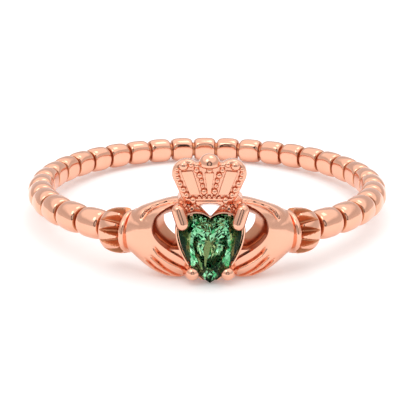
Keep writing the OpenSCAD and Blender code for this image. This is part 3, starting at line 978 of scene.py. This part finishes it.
def prong(name, row, side):
    """A claw with round ends that lies over the girdle, on a shaft that stands in the setting."""
    across, up, tip_across, tip_up, radius, reach = row
    heel = Vector((side * across * STONE_W / 2, -reach, STONE_Z + up * STONE_H))
    tip = Vector((side * tip_across * STONE_W / 2, -(PRONG_TOP - radius), STONE_Z + tip_up * STONE_H))
    root = Vector((heel.x, -PRONG_ROOT, heel.z))
    bm = bmesh.new()
    for start, end, r in ((heel, tip, radius), (root, heel, radius * SHAFT_SHARE)):
        way = end - start
        before = set(bm.verts)
        turned(bm, bow(10, r, -90, 0, (0, 0)) + bow(10, r, 0, 90, (0, way.length)), 40)
        place = Matrix.Translation(start) @ way.to_track_quat("Z", "Y").to_matrix().to_4x4()
        bmesh.ops.transform(bm, matrix=place, verts=[v for v in bm.verts if v not in before])
    return cast(name, bm, polished_gold)


prongs = [prong(f"prong_{place}_{'left' if side < 0 else 'right'}", row, side)
          for place, row in zip(("upper", "lower"), PRONGS) for side in (-1, 1)]

# %% [markdown]
# The stone is a green heart brilliant of cubic zirconia, which bends light so strongly that the
# facets behind the table throw it back to the eye as light and dark patches. The CAD solid has the
# main facets. This one has more of them, in seven rings of points, and they are cut by bridging
# loops of the heart's outline. Every facet gets its own painted reflection, a lighter or darker
# green kept as a face attribute, because in a real stone each one mirrors another part of the room.

# %% Green stone
HEART_MID = Vector((0, TIP_Z * 0.28))
# How far the culet stands behind the last ring
CULET_DEPTH = 0.32
# How far the facets' painted reflections spread, and how quickly they change from place to place
REFLECTION_SPREAD, REFLECTION_SCALE = 0.9, 9.7
# Painted reflections. Columns: share of the way from dark to light, colour
REFLECTION_GREENS = [(0.34, "#1F8545"), (0.66, "#9CE6B2")]
# Columns: points, shift in points, share of the outline, reach from the girdle
FACET_RINGS = [
    (20, 0.0, 0.56, 0.38),
    (20, 0.5, 0.76, 0.25),
    (40, 0.0, 0.995, 0.02),
    (40, 0.0, 0.995, -0.08),
    (20, 0.5, 0.80, -0.34),
    (20, 0.0, 0.55, -0.62),
    (20, 0.5, 0.28, -0.95),
]


def facet_ring(bm, count, shift, share, rise):
    """A closed loop of points on the outline, drawn towards the heart's middle."""
    loop = bmesh.ops.create_circle(bm, cap_ends=False, segments=count, radius=1)["verts"]
    for i, v in enumerate(loop):
        p = HEART_MID + (heart(((i + shift) / count) % 1) - HEART_MID) * share
        v.co = (p.x, -GIRDLE_REACH - rise, STONE_Z + p.y)
    return list({e for v in loop for e in v.link_edges})


def brilliant():
    bm = bmesh.new()
    rings = [facet_ring(bm, *row) for row in FACET_RINGS]
    for a, b in zip(rings, rings[1:]):
        bmesh.ops.bridge_loops(bm, edges=a + b)
    ends = bmesh.ops.holes_fill(bm, edges=[e for e in bm.edges if e.is_boundary], sides=0)["faces"]
    culet = max(ends, key=lambda f: f.calc_center_median().y)
    bmesh.ops.poke(bm, faces=[culet], offset=CULET_DEPTH, center_mode="MEAN")
    bmesh.ops.triangulate(bm, faces=[f for f in bm.faces if len(f.verts) == 4])
    # Each facet's painted reflection, lighter or darker by noise
    shade = bm.faces.layers.float.new("facet")
    for f in bm.faces:
        f[shade] = 0.5 + REFLECTION_SPREAD * noise.noise(f.calc_center_median() * REFLECTION_SCALE)
    return cast("heart_brilliant", bm, green_stone, crease=1)


def green_stone_material():
    material, tree, shader = new_material("green cubic zirconia")
    # The facets' painted reflections, as greens from dark to light
    shade = add(tree, "ShaderNodeAttribute", {"attribute_name": "facet"})
    ramp = add(tree, "ShaderNodeValToRGB", links={"Fac": shade.outputs["Fac"]})
    fill_ramp(ramp, REFLECTION_GREENS)
    tree.links.new(ramp.outputs["Color"], shader.inputs["Base Color"])
    shader.inputs["Transmission Weight"].default_value = 1.0
    shader.inputs["Roughness"].default_value = 0.0
    shader.inputs["Specular Tint"].default_value = linear("#1E5A34")
    shader.inputs["IOR"].default_value = 2.2
    return material


green_stone = green_stone_material()
stone = brilliant()
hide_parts("heart_stone")

# %% [markdown]
# The table is a white sweep, and the light is a white tent, as for jewellery, with a bright top and
# slightly darker walls. The lens looks in through a hole with a black rim, and its reflections draw
# the dark lines that make metal look like metal. The sweep glows a little, as light comes through it.

# %% Floor and lights
# Columns: height as the sine of the angle above the table, colour of the tent there
TENT = [(0.0, "#DDDDDD"), (0.10, "#D2D2D2"), (0.42, "#C8C8C8"), (0.60, "#FFFFFF"), (1.0, "#FFFFFF")]
TENT_STRENGTH = 1.2
# The hole's black rim. Columns: cosine of the angle to the line of sight, colour
LENS_HOLE = [(0.0, "#FFFFFF"), (0.86, "#FFFFFF"), (0.90, "#303030"), (0.955, "#202020"), (0.97, "#FFFFFF")]


def white_sweep():
    bm = bmesh.new()
    bmesh.ops.create_grid(bm, x_segments=1, y_segments=1, size=0.6)
    mesh = bpy.data.meshes.new("floor")
    bm.to_mesh(mesh)
    bm.free()
    sheet = bpy.data.objects.new("floor", mesh)
    bpy.context.collection.objects.link(sheet)
    material, tree, shader = new_material("white sweep")
    shader.inputs["Base Color"].default_value = linear("#FAFAFA")
    shader.inputs["Roughness"].default_value = 0.6
    shader.inputs["Specular IOR Level"].default_value = 0.0
    shader.inputs["Emission Color"].default_value = linear("#FFFFFF")
    shader.inputs["Emission Strength"].default_value = 0.18
    mesh.materials.append(material)
    return sheet


def soft_box(name, place, size, watts):
    """A square white lamp that faces the ring."""
    lamp = bpy.data.lights.new(name, "AREA")
    lamp.shape, lamp.size, lamp.size_y, lamp.energy = "RECTANGLE", size, size, watts
    box = bpy.data.objects.new(name, lamp)
    bpy.context.collection.objects.link(box)
    box.location = place
    box.rotation_euler = (-Vector(place)).to_track_quat("-Z", "Y").to_euler()


def tent():
    world = bpy.data.worlds.new("white tent")
    bpy.context.scene.world = world
    world.use_nodes = True
    tree = world.node_tree
    tree.nodes.clear()
    way = add(tree, "ShaderNodeTexCoord").outputs["Generated"]
    split = add(tree, "ShaderNodeSeparateXYZ", links={0: way})
    ramp = add(tree, "ShaderNodeValToRGB", links={"Fac": split.outputs["Z"]})
    fill_ramp(ramp, TENT)
    facing = add(tree, "ShaderNodeVectorMath", {"operation": "DOT_PRODUCT"}, {0: way})
    facing.inputs[1].default_value = camera.matrix_world.to_translation().normalized()
    mask = add(tree, "ShaderNodeValToRGB", links={"Fac": facing.outputs["Value"]})
    fill_ramp(mask, LENS_HOLE)
    both = add(tree, "ShaderNodeMix", {"data_type": "RGBA", "blend_type": "MULTIPLY"})
    both.inputs["Factor"].default_value = 1.0
    tree.links.new(ramp.outputs["Color"], both.inputs["A"])
    tree.links.new(mask.outputs["Color"], both.inputs["B"])
    light = add(tree, "ShaderNodeBackground", links={"Color": both.outputs["Result"]}, Strength=TENT_STRENGTH)
    add(tree, "ShaderNodeOutputWorld", links={"Surface": light.outputs[0]})


white_sweep()
tent()
soft_box("key", (-0.10, -0.12, 0.22), 0.10, 0.06)
soft_box("top", (0.06, 0.05, 0.25), 0.12, 0.06)
bpy.context.scene.view_settings.view_transform = "Standard"
